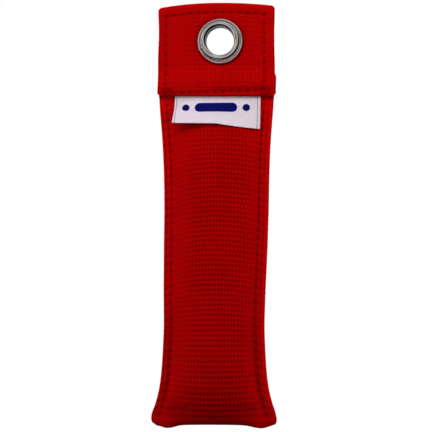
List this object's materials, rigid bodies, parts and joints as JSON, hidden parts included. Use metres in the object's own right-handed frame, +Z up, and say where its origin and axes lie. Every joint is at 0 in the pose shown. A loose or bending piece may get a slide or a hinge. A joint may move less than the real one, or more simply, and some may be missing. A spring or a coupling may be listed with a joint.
{
  "type": "weight bag",
  "caption": "Slim red webbing sleeve filled with steel shot, with a flat sewn header, a metal eyelet to hang it by and a small sewn-in label.",
  "frame": {"origin": "centre of the eyelet, in the plane of the side seams", "axes": "+Z up towards the folded top of the header, -Y out of the front with the label, +X to the right seen from the front"},
  "size_m": [0.09, 0.0346, 0.303],
  "materials": {
    "webbing": "matte",
    "thread": "satin",
    "eyelet": "polished",
    "label": "satin",
    "liner": "matte",
    "shot": "satin"
  },
  "bodies": {
    "header": {"header_wrap": "webbing", "header_inner_ply": "webbing", "header_box_needle_thread": "thread", "header_box_bobbin_thread": "thread", "left_bartack": "thread", "right_bartack": "thread", "eyelet_barrel": "eyelet", "eyelet_washer": "eyelet", "label_root": "label"},
    "bag": {"sleeve": "webbing", "liner": "liner", "shot_fill": "shot", "left_inner_needle_thread": "thread", "left_inner_bobbin_thread": "thread", "left_outer_needle_thread": "thread", "left_outer_bobbin_thread": "thread", "right_inner_needle_thread": "thread", "right_inner_bobbin_thread": "thread", "right_outer_needle_thread": "thread", "right_outer_bobbin_thread": "thread"},
    "label": {"label": "label"}
  },
  "joints": [
    {"name": "header_fold", "type": "hinge", "parent": "header", "child": "bag", "pos_m": [0, 0, -0.043], "axis": [1, 0, 0], "range_deg": [-60, 90]},
    {"name": "label_lift", "type": "hinge", "parent": "bag", "child": "label", "pos_m": [0, -0.0029, -0.0482], "axis": [-1, 0, 0], "range_deg": [0, 70]}
  ]
}
